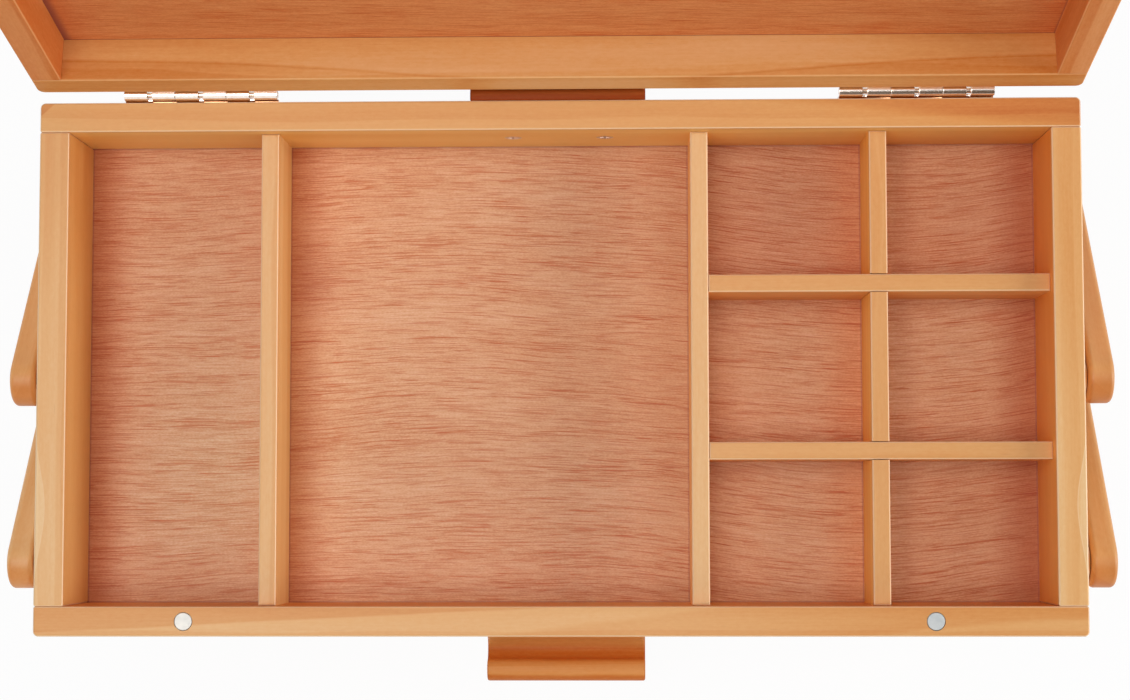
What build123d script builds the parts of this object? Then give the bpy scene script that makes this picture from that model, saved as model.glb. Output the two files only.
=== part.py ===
from build123d import *
from math import asin, cos, degrees, radians, sin, sqrt
import os

# A two-tier wooden sewing box. A deep base carries a divided tray on four side arms, and the tray
# carries a hinged lid. The arms form a parallelogram on each side, so the tray stays level while it
# swings up and back off the base. The tray is drawn on the base, and the lid is drawn open.
#
# Millimetres. The origin is the middle of the base's underside: +X right, +Y rear, +Z up.

# ---- case ------------------------------------------------------------------------------------
case_length = 400.0  # outside, along X, the same for base, tray and lid
case_width = 205.0  # outside, along Y
wall = 11.4  # thickness of every board round the base, tray and lid
base_height = 155.0
tray_height = 47.0
lid_height = 22.0
rest_gap = 0.3  # air under the resting tray, and under the closed lid
edge_round = 0.8  # the eased edges of every board
corner_round = 2.0  # the upright corners of the base and tray
lid_corner_round = 3.0  # the upright corners of the lid

# ---- plywood panels --------------------------------------------------------------------------
ply = 3.0
base_floor_rabbet = 6.0  # width of the step that holds the base floor flush with the underside
groove_depth = 4.0  # depth of the grooves that hold the tray floor and the lid panel
panel_play = 0.2  # air round the edge of a panel in its groove or step
tray_floor_rise = 3.0  # underside of the tray up to its floor
lid_panel_drop = 2.0  # top of the lid down to its panel

# ---- dividers in the tray ----------------------------------------------------------------------
divider = 6.8  # thickness
divider_drop = 7.0  # rim of the tray down to the dividers
left_compartment = 73.5  # length of the long compartment at the left end
grid_length = 130.8  # length of the group of six small compartments at the right end
corner_cell_width = 55.5  # width of the small compartments at the front and the rear
lap_play = 0.2  # air on each side of a divider in a crossing notch

# ---- side arms ---------------------------------------------------------------------------------
arm_centres = 100.0  # pivot to pivot
arm_rise = 62.0  # how far the upper pivot stands above the lower one at rest
arm_width = 20.0
arm_thickness = 10.0
arm_round = 2.0
arm_gap = 3.5  # wall to arm
pivot_spacing = 71.0  # between the two pivots on one wall
tray_pivot_drop = 20.5  # rim of the tray down to its pivots
spacer_radius = 7.0
spacer_play = 0.3  # air between a spacer and the arm

# ---- shoulder screws that the arms turn on -----------------------------------------------------
shoulder_radius = 3.0
running_play = 0.08  # radial, between a shoulder and the arm that turns on it
shoulder_anchor = 8.5  # how deep a shoulder screw goes into the wall
pivot_head_radius = 5.0
pivot_head_height = 3.0
pivot_head_play = 0.4  # radial, between a head and its counterbore
pivot_head_recess = 0.35  # a head lies this far below the face of the arm
end_play = 0.15  # along the shoulder, between the head and the arm

# ---- pulls -------------------------------------------------------------------------------------
pull_length = 67.6
pull_height = 36.0
pull_depth = 25.0
pull_flange = 3.5  # thickness of the pull against the wall
cove_radius = 6.25
cove_straight = 1.0  # straight part of the finger groove above its round bottom
lip_round = 3.2  # outer edges of the lip
pull_edge_round = 0.9
front_pull_z = 70.0  # middle of the pull on the base
stop_gap = 0.3  # air between the open lid and the rear pull that it leans on

# ---- wood screws -------------------------------------------------------------------------------
fixed_play = 0.05  # radial, round a screw, pin or magnet that doesn't turn
hole_end_play = 0.5  # air past the tip of a screw
pull_screw_spacing = 36.0
pull_screw_radius = 1.75
pull_screw_head_radius = 3.4
pull_screw_anchor = 11.0  # how deep a screw goes into the pull
leaf_screw_spacing = 20.0
leaf_screw_radius = 1.1
leaf_screw_head_radius = 2.3
leaf_screw_anchor = 8.0  # how deep a screw goes into the wood
leaf_screw_count = 3
cross_slot_width = 0.7
cross_slot_share = 1.2  # length of the cross in a screw head, in head radii
cross_slot_depth = 0.8

# ---- hinges ------------------------------------------------------------------------------------
lid_open_angle = 103.0  # from closed
hinge_inset = 62.5  # end of the box to the middle of a hinge
hinge_back = 2.7  # rear face of the box to the hinge axis
barrel_radius = 2.0
knuckle_length = 8.9
knuckle_count = 6
wide_gap = 1.8  # between a pair of knuckles, where the pin shows
close_gap = 0.15  # between one pair and the next
pin_radius = 1.1
leaf_thickness = 1.2
leaf_height = 12.5
leaf_clearance = 2.4  # hinge axis to the edge of the leaf
leaf_corner_round = 2.0
web_depth = 1.7  # the curl that joins a knuckle to its leaf
leaf_screw_drop = 9.0  # hinge axis to the screws

# ---- magnets -----------------------------------------------------------------------------------
magnet_inset = 57.5  # end of the box to the middle of a magnet
magnet_radius = 3.5
magnet_height = 4.0

# ---- derived sizes -----------------------------------------------------------------------------
inner_length = case_length - 2 * wall
inner_width = case_width - 2 * wall
half_length = case_length / 2
half_width = case_width / 2
tray_bottom = base_height + rest_gap
rim = tray_bottom + tray_height
lid_bottom = rim + rest_gap
tray_floor_top = tray_floor_rise + ply  # above the underside of the tray
divider_height = tray_height - divider_drop - tray_floor_top
left_divider_x = left_compartment + divider / 2 - inner_length / 2
grid_right = inner_length / 2
grid_left = grid_right - grid_length
centre_divider_x = grid_left - divider / 2
grid_middle = (grid_left + grid_right) / 2
grid_row_spacing = inner_width - 2 * corner_cell_width - divider
hinge_x = half_length - hinge_inset
magnet_x = half_length - magnet_inset

arm_run = sqrt(arm_centres**2 - arm_rise**2)
arm_slope = degrees(asin(arm_rise / arm_centres))
swing_range = 2 * (90 - arm_slope)
upper_pivot_z = rim - tray_pivot_drop
lower_pivot_z = upper_pivot_z - arm_rise
lower_pivot_y = {
    "front": (arm_run - pivot_spacing) / 2,
    "rear": (arm_run + pivot_spacing) / 2,
}
upper_pivot_y = {
    "front": lower_pivot_y["front"] - arm_run,
    "rear": lower_pivot_y["rear"] - arm_run,
}
counterbore_depth = pivot_head_height + pivot_head_recess + end_play
head_seat = arm_gap + arm_thickness - counterbore_depth + end_play  # wall to the head's underside

hinge_y = half_width + hinge_back
hinge_z = rim + rest_gap / 2
knuckle_starts = [
    knuckle_length * i + wide_gap * ((i + 1) // 2) + close_gap * (i // 2) for i in range(knuckle_count)
]
hinge_length = knuckle_starts[-1] + knuckle_length
own_knuckles = [start + knuckle_length / 2 - hinge_length / 2 for start in knuckle_starts[::2]]

# The closed lid turned back about the hinge axis gives the plane that the open lid is drawn on.
# On that plane, x, y and z are those of the closed lid, from the middle of its underside.
opening = radians(lid_open_angle)
back_y = -hinge_y * cos(opening) + (lid_bottom - hinge_z) * sin(opening)
back_z = hinge_y * sin(opening) + (lid_bottom - hinge_z) * cos(opening)
lid_up = (0, sin(opening), cos(opening))
lid_plane = Plane(origin=(0, hinge_y + back_y, hinge_z + back_z), x_dir=(1, 0, 0), z_dir=lid_up)
base_plane = Plane.XY
tray_plane = Plane.XY.offset(tray_bottom)

# The open lid's rear face rests on the rounded lip of the rear pull, which sets the pull's height.
lip_centre_y = pull_depth - lip_round
lip_centre_z = pull_height / 2 - lip_round
lean = (lip_centre_y - hinge_back) * cos(opening) + hinge_back - lip_round - stop_gap
rear_pull_z = hinge_z - lip_centre_z + lean / sin(opening)

sides = (("left", -1), ("right", 1))
CENTRED_LOW = (Align.CENTER, Align.CENTER, Align.MIN)
CENTRED_HIGH = (Align.CENTER, Align.CENTER, Align.MAX)

os.makedirs("parts", exist_ok=True)


def save(piece, name):
    """Labels a finished piece and writes its file."""
    piece.part.label = name
    export_step(piece.part, f"parts/{name}.step")


# ---- boards ------------------------------------------------------------------------------------
# Each helper adds to the piece that is being built, on that piece's own plane.


def long_board(piece, plane, facing, height, corner):
    """A front (facing -1) or rear (facing 1) board, which runs the whole length of the box."""
    with BuildSketch(plane) as outline:
        with Locations((0, facing * (case_width - wall) / 2)):
            Rectangle(case_length, wall)
        outward = Axis((0, 0, 0), (0, facing, 0))
        fillet(outline.vertices().sort_by(outward)[-2:], corner)
        fillet(outline.vertices().sort_by(outward)[:2], edge_round)
    extrude(outline.sketch, amount=height)
    fillet(piece.faces().filter_by(plane).edges(), edge_round)


def side_board(piece, facing, height):
    """A left (facing -1) or right (facing 1) board, which butts between the long boards."""
    with Locations((facing * (case_length - wall) / 2, 0, 0)):
        Box(wall, inner_width, height, align=CENTRED_LOW)
    fillet(piece.edges(), edge_round)


def panel_box(bottom, seat, play=0.0, mode=Mode.ADD):
    """The space of a plywood panel that reaches into all four walls, or the panel itself."""
    with Locations((0, 0, bottom)):
        Box(
            inner_length + 2 * (seat - play),
            inner_width + 2 * (seat - play),
            ply,
            align=CENTRED_LOW,
            mode=mode,
        )


def facing_y(facing, x, y, z):
    """A place on a board's face, where up points to the front (facing -1) or the rear (facing 1)."""
    return Location((x, y, z), (-90 * facing, 0, 0))


def facing_x(facing, x, y, z):
    """A place on a board's face, where up points to the left (facing -1) or the right (facing 1)."""
    return Location((x, y, z), (0, 90 * facing, 0))


def screw(radius, head_radius, length):
    """A countersunk wood screw with a cross slot: its flat head is level with the place given."""
    head_height = head_radius - radius
    Cone(radius, head_radius, head_height, align=CENTRED_HIGH)
    Cylinder(radius, length, align=CENTRED_HIGH)
    slot_length = head_radius * cross_slot_share
    Box(slot_length, cross_slot_width, cross_slot_depth, align=CENTRED_HIGH, mode=Mode.SUBTRACT)
    Box(cross_slot_width, slot_length, cross_slot_depth, align=CENTRED_HIGH, mode=Mode.SUBTRACT)


def pull_screw_places(facing, inner_y, z):
    """The heads of a pull's two screws, on the inside of the wall that carries the pull."""
    return [facing_y(facing, x, inner_y, z) for x in (-pull_screw_spacing / 2, pull_screw_spacing / 2)]


def pull_screw_hole(depth):
    """The countersunk hole of a pull screw through a wall."""
    CounterSinkHole(
        radius=pull_screw_radius + fixed_play,
        counter_sink_radius=pull_screw_head_radius + fixed_play,
        depth=depth,
        counter_sink_angle=90,
    )


# The screws of both leaves lie at these places along a hinge.
leaf_screw_steps = [
    leaf_screw_spacing * (i - (leaf_screw_count - 1) / 2) for i in range(leaf_screw_count)
]
leaf_screws_x = [side * hinge_x + step for side in (-1, 1) for step in leaf_screw_steps]


# ---- base --------------------------------------------------------------------------------------
with BuildPart(base_plane) as base_front_wall:
    long_board(base_front_wall, base_plane, -1, base_height, corner_round)
    panel_box(0, base_floor_rabbet, mode=Mode.SUBTRACT)
    with Locations(*pull_screw_places(1, -inner_width / 2, front_pull_z)):
        pull_screw_hole(wall)
save(base_front_wall, "base_front_wall")

with BuildPart(base_plane) as base_rear_wall:
    long_board(base_rear_wall, base_plane, 1, base_height, corner_round)
    panel_box(0, base_floor_rabbet, mode=Mode.SUBTRACT)
save(base_rear_wall, "base_rear_wall")

for side, facing in sides:
    with BuildPart(base_plane) as base_side_wall:
        side_board(base_side_wall, facing, base_height)
        panel_box(0, base_floor_rabbet, mode=Mode.SUBTRACT)
        with Locations(
            *[facing_x(facing, facing * half_length, y, lower_pivot_z) for y in lower_pivot_y.values()]
        ):
            Hole(shoulder_radius + fixed_play, depth=shoulder_anchor + hole_end_play)
    save(base_side_wall, f"base_{side}_wall")

with BuildPart(base_plane) as base_floor:
    panel_box(0, base_floor_rabbet, panel_play)
save(base_floor, "base_floor")


# ---- tray --------------------------------------------------------------------------------------
with BuildPart(tray_plane) as tray_front_wall:
    long_board(tray_front_wall, tray_plane, -1, tray_height, corner_round)
    panel_box(tray_floor_rise, groove_depth, mode=Mode.SUBTRACT)
    with Locations(*[(x, -(case_width - wall) / 2, tray_height) for x in (-magnet_x, magnet_x)]):
        Hole(magnet_radius + fixed_play, depth=magnet_height)
save(tray_front_wall, "tray_front_wall")

with BuildPart(tray_plane) as tray_rear_wall:
    long_board(tray_rear_wall, tray_plane, 1, tray_height, corner_round)
    panel_box(tray_floor_rise, groove_depth, mode=Mode.SUBTRACT)
    with Locations(*pull_screw_places(-1, inner_width / 2, rear_pull_z - tray_bottom)):
        pull_screw_hole(wall)
    leaf_screw_z = hinge_z - leaf_screw_drop - tray_bottom
    with Locations(*[facing_y(1, x, half_width, leaf_screw_z) for x in leaf_screws_x]):
        Hole(leaf_screw_radius + fixed_play, depth=leaf_screw_anchor + hole_end_play)
save(tray_rear_wall, "tray_rear_wall")

for side, facing in sides:
    with BuildPart(tray_plane) as tray_side_wall:
        side_board(tray_side_wall, facing, tray_height)
        panel_box(tray_floor_rise, groove_depth, mode=Mode.SUBTRACT)
        pivot_z = upper_pivot_z - tray_bottom
        with Locations(
            *[facing_x(facing, facing * half_length, y, pivot_z) for y in upper_pivot_y.values()]
        ):
            Hole(shoulder_radius + fixed_play, depth=shoulder_anchor + hole_end_play)
    save(tray_side_wall, f"tray_{side}_wall")

with BuildPart(tray_plane) as tray_floor:
    panel_box(tray_floor_rise, groove_depth, panel_play)
save(tray_floor, "tray_floor")

with BuildPart() as tray_magnets:
    with Locations(*[(x, -(case_width - wall) / 2, rim) for x in (-magnet_x, magnet_x)]):
        Cylinder(magnet_radius, magnet_height, align=CENTRED_HIGH)
save(tray_magnets, "tray_magnets")


# ---- dividers ----------------------------------------------------------------------------------
divider_plane = tray_plane.offset(tray_floor_top)
notch_width = divider + 2 * lap_play
grid_rows_y = (-grid_row_spacing / 2, grid_row_spacing / 2)


def divider_board(piece, x_size, y_size, centre):
    """A divider that stands on the floor, with its upper edges eased."""
    with Locations(centre):
        Box(x_size, y_size, divider_height, align=CENTRED_LOW)
    fillet(piece.faces().sort_by(Axis.Z)[-1].edges(), edge_round)


with BuildPart(divider_plane) as left_divider:
    divider_board(left_divider, divider, inner_width, (left_divider_x, 0, 0))
save(left_divider, "left_divider")

with BuildPart(divider_plane) as centre_divider:
    divider_board(centre_divider, divider, inner_width, (centre_divider_x, 0, 0))
save(centre_divider, "centre_divider")

# The divider that runs front to back is notched from above, and the two that run across it are
# notched from below, so that their upper edges run on unbroken.
with BuildPart(divider_plane) as grid_long_divider:
    divider_board(grid_long_divider, divider, inner_width, (grid_middle, 0, 0))
    with Locations(*[(grid_middle, y, divider_height / 2) for y in grid_rows_y]):
        Box(divider, notch_width, divider_height / 2, align=CENTRED_LOW, mode=Mode.SUBTRACT)
save(grid_long_divider, "grid_long_divider")

for name, row_y in zip(("front", "rear"), grid_rows_y):
    with BuildPart(divider_plane) as grid_cross_divider:
        divider_board(grid_cross_divider, grid_right - grid_left, divider, (grid_middle, row_y, 0))
        with Locations((grid_middle, row_y, 0)):
            Box(notch_width, divider, divider_height / 2, align=CENTRED_LOW, mode=Mode.SUBTRACT)
    save(grid_cross_divider, f"grid_{name}_divider")


# ---- pulls -------------------------------------------------------------------------------------
# The same pull, with a finger groove above and below, sits on the front of the base and on the rear
# of the tray. The rear one is also the stop that the open lid leans on.
for name, facing, pull_z in (("front_pull", -1, front_pull_z), ("rear_pull", 1, rear_pull_z)):
    section = Plane(
        origin=(-pull_length / 2, facing * half_width, pull_z), x_dir=(0, facing, 0), z_dir=(1, 0, 0)
    )
    with BuildPart() as pull:
        with BuildSketch(section) as profile:
            Rectangle(pull_depth, pull_height, align=(Align.MIN, Align.CENTER))
            fillet(profile.vertices().sort_by(Axis.X)[2:], lip_round)
            cove_x = pull_flange + cove_radius
            with Locations((cove_x, -pull_height / 2), (cove_x, pull_height / 2)):
                SlotCenterToCenter(
                    2 * cove_straight, 2 * cove_radius, rotation=90, mode=Mode.SUBTRACT
                )
        extrude(amount=pull_length)
        ends = pull.faces().filter_by(Axis.X)
        fillet(ends.edges(), pull_edge_round)
        wall_side = [
            facing_y(-facing, x, facing * half_width, pull_z)
            for x in (-pull_screw_spacing / 2, pull_screw_spacing / 2)
        ]
        with Locations(*wall_side):
            Hole(pull_screw_radius + fixed_play, depth=pull_screw_anchor + hole_end_play)
    save(pull, name)

    with BuildPart() as pull_screws:
        with Locations(*pull_screw_places(-facing, facing * inner_width / 2, pull_z)):
            screw(pull_screw_radius, pull_screw_head_radius, wall + pull_screw_anchor)
    save(pull_screws, f"{name}_screws")


# ---- arms --------------------------------------------------------------------------------------
for side, facing in sides:
    for place, pivot_y in lower_pivot_y.items():
        arm_plane = Plane(
            origin=(facing * (half_length + arm_gap), pivot_y, lower_pivot_z),
            x_dir=(0, -arm_run, arm_rise),
            z_dir=(facing, 0, 0),
        )
        with BuildPart(arm_plane) as arm:
            with BuildSketch(arm_plane):
                with Locations((arm_centres / 2, 0)):
                    SlotCenterToCenter(arm_centres, arm_width)
            extrude(amount=arm_thickness)
            fillet(arm.edges(), arm_round)
            with Locations((0, 0, arm_thickness), (arm_centres, 0, arm_thickness)):
                CounterBoreHole(
                    radius=shoulder_radius + running_play,
                    counter_bore_radius=pivot_head_radius + pivot_head_play,
                    counter_bore_depth=counterbore_depth,
                    depth=arm_thickness,
                )
        save(arm, f"arm_{place}_{side}")


# ---- pivots ------------------------------------------------------------------------------------
# The lower screws and spacers stay with the base, and the upper ones travel with the tray.
for level, pivot_ys, pivot_z in (
    ("lower", lower_pivot_y, lower_pivot_z),
    ("upper", upper_pivot_y, upper_pivot_z),
):
    with BuildPart() as pivot_spacers:
        with Locations(*[facing_x(1, half_length, y, pivot_z) for y in pivot_ys.values()]):
            Cylinder(spacer_radius, arm_gap - spacer_play, align=CENTRED_LOW)
            Cylinder(
                shoulder_radius + fixed_play, arm_gap, align=CENTRED_LOW, mode=Mode.SUBTRACT
            )
        mirror(about=Plane.YZ)
    save(pivot_spacers, f"{level}_pivot_spacers")

    with BuildPart() as pivot_screws:
        head_x = half_length + head_seat
        with Locations(*[facing_x(1, head_x, y, pivot_z) for y in pivot_ys.values()]):
            Cylinder(shoulder_radius, head_seat + shoulder_anchor, align=CENTRED_HIGH)
            Cylinder(pivot_head_radius, pivot_head_height, align=CENTRED_LOW)
        with Locations(
            *[facing_x(1, head_x + pivot_head_height, y, pivot_z) for y in pivot_ys.values()]
        ):
            slot_length = pivot_head_radius * cross_slot_share
            Box(slot_length, cross_slot_width, cross_slot_depth, align=CENTRED_HIGH, mode=Mode.SUBTRACT)
            Box(cross_slot_width, slot_length, cross_slot_depth, align=CENTRED_HIGH, mode=Mode.SUBTRACT)
        mirror(about=Plane.YZ)
    save(pivot_screws, f"{level}_pivot_screws")


# ---- lid ---------------------------------------------------------------------------------------
lid_panel_bottom = lid_height - lid_panel_drop - ply

with BuildPart(lid_plane) as lid_front_rail:
    long_board(lid_front_rail, lid_plane, -1, lid_height, lid_corner_round)
    panel_box(lid_panel_bottom, groove_depth, mode=Mode.SUBTRACT)
    with Locations(*[(x, -(case_width - wall) / 2, 0) for x in (-magnet_x, magnet_x)]):
        Cylinder(magnet_radius + fixed_play, magnet_height, align=CENTRED_LOW, mode=Mode.SUBTRACT)
save(lid_front_rail, "lid_front_rail")

with BuildPart(lid_plane) as lid_rear_rail:
    long_board(lid_rear_rail, lid_plane, 1, lid_height, lid_corner_round)
    panel_box(lid_panel_bottom, groove_depth, mode=Mode.SUBTRACT)
    leaf_screw_z = hinge_z + leaf_screw_drop - lid_bottom
    with Locations(*[facing_y(1, x, half_width, leaf_screw_z) for x in leaf_screws_x]):
        Hole(leaf_screw_radius + fixed_play, depth=leaf_screw_anchor + hole_end_play)
save(lid_rear_rail, "lid_rear_rail")

for side, facing in sides:
    with BuildPart(lid_plane) as lid_side_rail:
        side_board(lid_side_rail, facing, lid_height)
        panel_box(lid_panel_bottom, groove_depth, mode=Mode.SUBTRACT)
    save(lid_side_rail, f"lid_{side}_rail")

with BuildPart(lid_plane) as lid_panel:
    panel_box(lid_panel_bottom, groove_depth, panel_play)
save(lid_panel, "lid_panel")

with BuildPart(lid_plane) as lid_magnets:
    with Locations(*[(x, -(case_width - wall) / 2, 0) for x in (-magnet_x, magnet_x)]):
        Cylinder(magnet_radius, magnet_height, align=CENTRED_LOW)
save(lid_magnets, "lid_magnets")


# ---- hinges ------------------------------------------------------------------------------------
def leaf_plane(owner, side):
    """The plane of a leaf: x along the pin, y away from the wood, and the leaf hangs down z."""
    if owner == "tray":
        return Plane(origin=(side * hinge_x, hinge_y, hinge_z), x_dir=(1, 0, 0), z_dir=(0, 0, 1))
    lid_down = (0, -sin(opening), -cos(opening))
    return Plane(origin=(side * hinge_x, hinge_y, hinge_z), x_dir=(-1, 0, 0), z_dir=lid_down)


leaf_outside = -hinge_back + leaf_thickness
leaf_screw_places = [facing_y(1, x, leaf_outside, -leaf_screw_drop) for x in leaf_screw_steps]

for side, facing in sides:
    # The two leaves are the same piece. Turned over, the knuckles of one fall between the other's.
    for owner in ("tray", "lid"):
        plane = leaf_plane(owner, facing)
        with BuildPart(plane) as leaf:
            with Locations((0, -hinge_back, -leaf_clearance)):
                Box(hinge_length, leaf_thickness, leaf_height, align=(Align.CENTER, Align.MIN, Align.MAX))
            across = leaf.edges().filter_by(Axis((0, 0, 0), plane.y_dir))
            fillet(across.sort_by(Axis((0, 0, 0), plane.z_dir))[:2], leaf_corner_round)
            with Locations(*[(x, 0, 0) for x in own_knuckles]):
                Cylinder(barrel_radius, knuckle_length, rotation=(0, 90, 0))
            with Locations(*[(x, -hinge_back, 0) for x in own_knuckles]):
                Box(
                    knuckle_length,
                    web_depth,
                    leaf_clearance + leaf_thickness,
                    align=(Align.CENTER, Align.MIN, Align.MAX),
                )
            Cylinder(pin_radius + fixed_play, hinge_length, rotation=(0, 90, 0), mode=Mode.SUBTRACT)
            with Locations(*leaf_screw_places):
                CounterSinkHole(
                    radius=leaf_screw_radius + fixed_play,
                    counter_sink_radius=leaf_screw_head_radius + fixed_play,
                    depth=leaf_thickness,
                    counter_sink_angle=90,
                )
        save(leaf, f"{side}_hinge_{owner}_leaf")

    with BuildPart(leaf_plane("tray", facing)) as hinge_pin:
        Cylinder(pin_radius, hinge_length, rotation=(0, 90, 0))
    save(hinge_pin, f"{side}_hinge_pin")

for owner in ("tray", "lid"):
    with BuildPart(leaf_plane(owner, -1), leaf_plane(owner, 1)) as leaf_screws:
        with Locations(*leaf_screw_places):
            screw(leaf_screw_radius, leaf_screw_head_radius, leaf_thickness + leaf_screw_anchor)
    save(leaf_screws, f"{owner}_hinge_screws")

print(f"The tray swings back through {swing_range:.2f} degrees, and the lid closes through {lid_open_angle}.")
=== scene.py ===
# %% [markdown]
# # A wooden sewing box with a tray that swings out
#
# The box is made of pale softwood boards and reddish plywood, all varnished a warm honey colour. A
# deep base carries a divided tray on four wooden arms, and the tray carries a hinged lid. Here the
# lid stands open and we look down into the tray.
#
# The shapes of the wood already exist as a solid model, measured in metres. So this lesson loads them
# as a fixed frame, reads sizes from it, and does what a finisher and a hardware maker would do: choose
# how the grain runs in each board, varnish it, and fit moulded pulls and detailed hinges, screws and
# magnets.

# %% Load the frame
import bmesh
import bpy
from math import asin, cos, degrees, pi, radians, sin
from mathutils import Matrix, Vector


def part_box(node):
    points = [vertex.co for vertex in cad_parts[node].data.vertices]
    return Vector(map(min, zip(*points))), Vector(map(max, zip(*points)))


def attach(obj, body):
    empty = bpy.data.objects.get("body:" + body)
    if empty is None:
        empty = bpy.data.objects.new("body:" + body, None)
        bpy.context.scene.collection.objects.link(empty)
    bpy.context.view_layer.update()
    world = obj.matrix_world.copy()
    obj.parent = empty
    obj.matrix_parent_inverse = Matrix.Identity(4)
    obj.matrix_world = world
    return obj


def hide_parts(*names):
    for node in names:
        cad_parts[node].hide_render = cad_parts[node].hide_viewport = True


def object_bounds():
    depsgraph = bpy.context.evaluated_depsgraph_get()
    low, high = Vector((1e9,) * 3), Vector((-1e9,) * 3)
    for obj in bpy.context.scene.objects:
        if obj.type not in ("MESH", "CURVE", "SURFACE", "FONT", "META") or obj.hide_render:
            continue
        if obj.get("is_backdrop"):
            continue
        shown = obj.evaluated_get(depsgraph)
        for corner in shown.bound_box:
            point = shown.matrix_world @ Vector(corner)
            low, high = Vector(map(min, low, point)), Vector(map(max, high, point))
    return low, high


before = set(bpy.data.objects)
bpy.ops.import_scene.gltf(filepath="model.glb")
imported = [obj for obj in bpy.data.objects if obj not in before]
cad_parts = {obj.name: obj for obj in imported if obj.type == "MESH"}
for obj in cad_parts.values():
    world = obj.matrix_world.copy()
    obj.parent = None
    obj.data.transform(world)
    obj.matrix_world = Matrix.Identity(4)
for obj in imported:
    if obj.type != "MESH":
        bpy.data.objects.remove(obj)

cad_low, cad_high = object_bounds()
MM = 0.001
print("the box that holds them, in mm:", [round((b - a) / MM, 1) for a, b in zip(cad_low, cad_high)])

# %% [markdown]
# ## The camera
#
# The box is seen from nearly straight above, a little in front of its middle, with a lens that is
# long enough to keep its sides almost parallel. The camera is placed from the tray's rim, because the
# rim is what the eye measures first. A camera could be aimed with a tracking constraint, but two
# points and a small roll say the same thing and stay fixed.


# %% The camera
def face_of(name, axis, side):
    """Where a node ends along an axis, on its high side (1) or its low side (-1)."""
    return getattr(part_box(name)[side > 0], axis)


def add_object(name, data):
    """Puts a new object into the scene."""
    made = bpy.data.objects.new(name, data)
    bpy.context.scene.collection.objects.link(made)
    return made


rim = face_of("tray_front_wall", "z", 1)
camera_place = Vector((26.37 * MM, -56.24 * MM, rim + 873.92 * MM))
camera_target = Vector((2.79 * MM, 6.15 * MM, rim))
camera_roll = radians(-0.077)

view_line = camera_target - camera_place
right_hand = view_line.cross(Vector((0, 1, 0))).normalized()
upward = right_hand.cross(view_line).normalized()
camera_axes = Matrix((right_hand, upward, -view_line.normalized())).transposed()

camera_data = bpy.data.cameras.new("camera")
camera_data.lens = 73.23
camera_data.sensor_width = 36.0
camera_data.clip_start = 0.01
camera = add_object("camera", camera_data)
camera.matrix_world = (camera_axes @ Matrix.Rotation(camera_roll, 3, "Z")).to_4x4()
camera.location = camera_place
bpy.context.scene.camera = camera
bpy.context.scene.view_settings.view_transform = "Standard"
print("camera", [round(c / MM) for c in camera_place], "mm, lens", camera_data.lens)

# %% [markdown]
# ## Helpers for shader nodes
#
# A material is a small machine of nodes. Writing each node by hand takes three lines or more, so one
# helper makes a node and fills its inputs with numbers or links. The others are built on it, and each
# does one step of arithmetic.


# %% Node helpers
def node(tree, kind, inputs=None, **settings):
    """Makes a node. An input that is given a socket is linked, and any other value is set."""
    made = tree.nodes.new("ShaderNode" + kind)
    for name, value in settings.items():
        setattr(made, name, value)
    for name, value in (inputs or {}).items():
        if isinstance(value, bpy.types.NodeSocket):
            tree.links.new(value, made.inputs[name])
        else:
            made.inputs[name].default_value = value
    return made


def calc(tree, operation, *values, clamp=False):
    """One step of arithmetic on values or sockets."""
    return node(tree, "Math", dict(enumerate(values)), operation=operation, use_clamp=clamp).outputs[0]


def plus(tree, first, second):
    """The sum of two values."""
    return calc(tree, "ADD", first, second)


def minus(tree, first, second):
    """What is left of the first value without the second."""
    return calc(tree, "SUBTRACT", first, second)


def times(tree, first, second):
    """The product of two values."""
    return calc(tree, "MULTIPLY", first, second)


def ease(tree, value, start, end, low=0.0, high=1.0):
    """Goes smoothly from low to high as the value goes from start to end."""
    settings = {"Value": value, "From Min": start, "From Max": end, "To Min": low, "To Max": high}
    return node(tree, "MapRange", settings, interpolation_type="SMOOTHSTEP").outputs["Result"]


def bell(tree, value, middle, reach):
    """1 where a value is at a middle, with a soft fall to 0 on both sides."""
    away = calc(tree, "DIVIDE", minus(tree, value, middle), reach)
    return calc(tree, "EXPONENT", times(tree, calc(tree, "POWER", away, 2.0), -1.0))


def swing(tree, noise, spread):
    """Moves noise down so that it swings round 0, and widens it to a spread."""
    return times(tree, minus(tree, noise, 0.5), spread)


def in_mm(tree, place):
    """A place in mm, followed by its three parts."""
    place = node(tree, "VectorMath", {0: place, "Scale": 1 / MM}, operation="SCALE").outputs[0]
    return place, *node(tree, "SeparateXYZ", {0: place}).outputs


print("arithmetic helpers are ready")

# %% [markdown]
# ## Helpers for colour and noise
#
# Wood is never one colour, so its colours are mixed, seen through films of varnish, and steered by
# noise. Noise is round blots by nature, and stretching turns it into fibres and streaks.


# %% Colour and noise helpers
def blend(tree, amount, first, second, mode="MIX"):
    """Mixes two colours."""
    inputs = {0: amount, 6: first, 7: second}
    return node(tree, "Mix", inputs, data_type="RGBA", blend_type=mode).outputs[2]


def through_film(tree, amount, colour, film):
    """A colour as it looks through an amount of a coloured film."""
    return blend(tree, amount, colour, (*film, 1), "MULTIPLY")


def ramp(tree, value, *stops):
    """Turns a value into a colour by way of stops of (place, colour)."""
    made = node(tree, "ValToRGB", {"Fac": value})
    marks = made.color_ramp.elements
    while len(marks) < len(stops):
        marks.new(0.5)
    for mark, (place, colour) in zip(marks, stops):
        mark.position = place
        mark.color = (*colour, 1)
    return made.outputs["Color"]


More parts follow.
